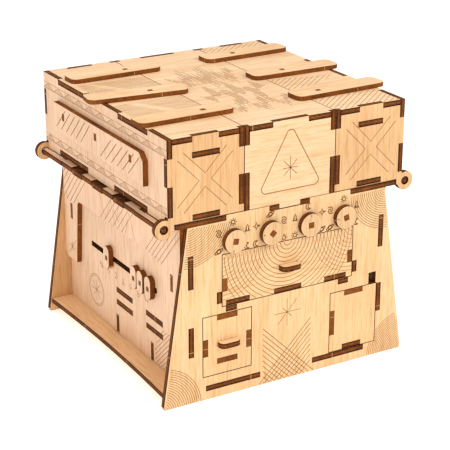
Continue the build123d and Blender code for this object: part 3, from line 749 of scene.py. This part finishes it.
chevrons = (((63.4, 140.9), (51.0, 128.5), (38.6, 141.2)), ((66.9, 137.5), (54.6, 124.9), (67.2, 112.2)),
            ((35.0, 137.6), (47.5, 124.9), (35.0, 112.2)), ((63.3, 108.9), (51.0, 121.3), (38.6, 108.8)))
wall_end = (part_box("left_wing_outer_wall")[1].y - front_y) / MM
BAND_RULES, TOOTH = ((112.7, 109.2), (143.5, 140.0)), 6.8
for side, sign_x, towards in (("left", -1, "-x"), ("right", 1, "+x")):
    cross = [[(sign_x * u, v) for u, v in line] for line in chevrons]
    for end, outward in (("front", "-y"), ("back", "+y")):
        engrave(f"{side}_wing_{end}_chevrons", f"{side}_wing_{end}", outward, drawn_lines, LINE, cross)
    bands = []
    for high, low in BAND_RULES:
        bands += [[(0.4, high), (wall_end - 0.4, high)], [(0.4, low), (wall_end - 0.4, low)]]
        teeth = int(wall_end / TOOTH)
        bands.append([(0.4 + TOOTH * i, high if i % 2 else low) for i in range(teeth + 1)])
        for i in range(0, teeth - 1, 2):
            left_corner = 0.4 + TOOTH * i
            bands += hatch(((left_corner, low), (left_corner + 2 * TOOTH, low), (left_corner + TOOTH, high)),
                           pi / 2, 1.1)
    engrave(f"{side}_wall_bands", f"{side}_wing_outer_wall", towards, drawn_lines, 0.2, bands)
    for group, first, last in (("back", ((127.2, 122.5), (114.5, 134.7)), ((94.6, 122.4), (82.9, 134.9))),
                               ("front", ((70.1, 121.4), (56.8, 133.8)), ((37.2, 121.4), (24.3, 133.6)))):
        rule(f"{side}_trim_{group}_lines", f"{side}_wing_side_plate", towards, LINE, 6, first, last)
right_fields = (((28.6, 0.6), (69.5, 0.6), (69.5, 23.5), (28.6, 23.5)),
                ((28.6, 45.5), (48.0, 48.5), (66.0, 59.5), (50.0, 63.5), (28.6, 69.0)),
                ((28.6, 133.5), (69.5, 136.5), (69.5, wall_end - 3.5), (28.6, wall_end - 3.5)))
engrave("right_roof_hatching", "right_wing_top", "+z", drawn_lines, FINE,
        [line for field in right_fields for line in hatch(field, radians(40), 2.7)])
left_fields = (((-69.4, 40.0), (-46.0, 40.0), (-62.0, 66.0), (-69.4, 66.0)),
               ((-40.0, 40.0), (-28.6, 40.0), (-28.6, 66.0), (-56.0, 66.0)),
               ((-69.4, 86.0), (-50.0, 86.0), (-66.0, 112.0), (-69.4, 112.0)),
               ((-44.0, 86.0), (-28.6, 86.0), (-28.6, 110.0), (-60.0, 110.0)))
engrave("left_roof_shading", "left_wing_top", "+z", drawn_lines, 0.14,
        [line for field in left_fields for line in hatch(field, 0.0, 1.1)])

# ------------------------------------------------------------------ battens
# Six round-ended battens on the roof. A square peg through each goes down through the roof plate to a
# keeper disc, so the batten can turn and lock a wing to the centre box.
for side in ("left", "right"):
    for number in (1, 2, 3):
        finish_board(f"{side}_batten_{number}", "batten", "x")

# ------------------------------------------------------------------ drawers
# A wide drawer behind the dials and two small ones under it: glued trays with tabbed faces. The main
# one and the left one have a rounded handle tongue, and the main one carries the lock's comb.
for drawer, grain in (("main", "x"), ("left", "z"), ("right", "z")):
    finish_board(f"{drawer}_drawer_front", "front", grain)
    finish_board(f"{drawer}_drawer_floor", "inner", "y")
    finish_board(f"{drawer}_drawer_walls", "inner", "y")
for drawer in ("main", "left"):
    finish_board(f"{drawer}_drawer_handle", "centre", "x")
finish_board("main_drawer_lock_comb", "inner", "x")
face_low, face_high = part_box("main_drawer_front")
x_low, x_high, z_low, z_high = (face_low.x / MM + 0.3, face_high.x / MM - 0.3,
                                face_low.z / MM + 0.3, face_high.z / MM - 0.3)
face_field = ((x_low, z_low), (x_high, z_low), (x_high, z_high), (x_low, z_high))
fan("main_drawer_rings", "main_drawer_front", "-y", 0.3, 18, 2.3, (-0.9, z_high), face_field)
for name, corner_x in (("left", x_low), ("right", x_high)):
    fan(f"main_drawer_{name}_rings", "main_drawer_front", "-y", 0.18, 11, 2.3, (corner_x, z_high),
        face_field)

# ------------------------------------------------------------------ dials
# Four round knobs on square axles. Behind the panel each axle turns a notched cam that blocks or
# frees the main drawer.
for number in (1, 2, 3, 4):
    finish_board(f"dial_{number}_knob", "dial", "z")
    finish_board(f"dial_{number}_axle", "inner", "y")
TICK_TURNS = (radians(-105), radians(180), radians(90), radians(180))
dial_signs = []
for number, tick in enumerate(TICK_TURNS, start=1):
    low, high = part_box(f"dial_{number}_knob")
    middle = ((low.x + high.x) / 2 / MM, (low.z + high.z) / 2 / MM)
    reach = (high.x - low.x) / 2 / MM
    mark = [(middle[0] + r * cos(tick), middle[1] + r * sin(tick)) for r in (reach - 0.7, reach - 2.0)]
    engrave(f"dial_{number}_mark", f"dial_{number}_knob", "-y", drawn_lines, 0.5, [mark])
    for step in range(5):
        around = radians(90 + 60 * (step - 2))
        dial_signs += SIGNS[(step + 2 * number) % len(SIGNS)](
            middle[0] + 9.9 * cos(around), middle[1] + 9.9 * sin(around), 2.2)
engrave("dial_signs", "front_panel", "-y", drawn_lines, BOLD, dial_signs)

# ------------------------------------------------------------------ sliders
# Four pill-shaped plywood knobs that run in the slot of the left side panel. Each is pressed on a square
# peg, and a keeper block glued to the peg's inner end holds it in the slot.
for number in (1, 2, 3, 4):
    finish_board(f"slider_{number}", "side", "z")
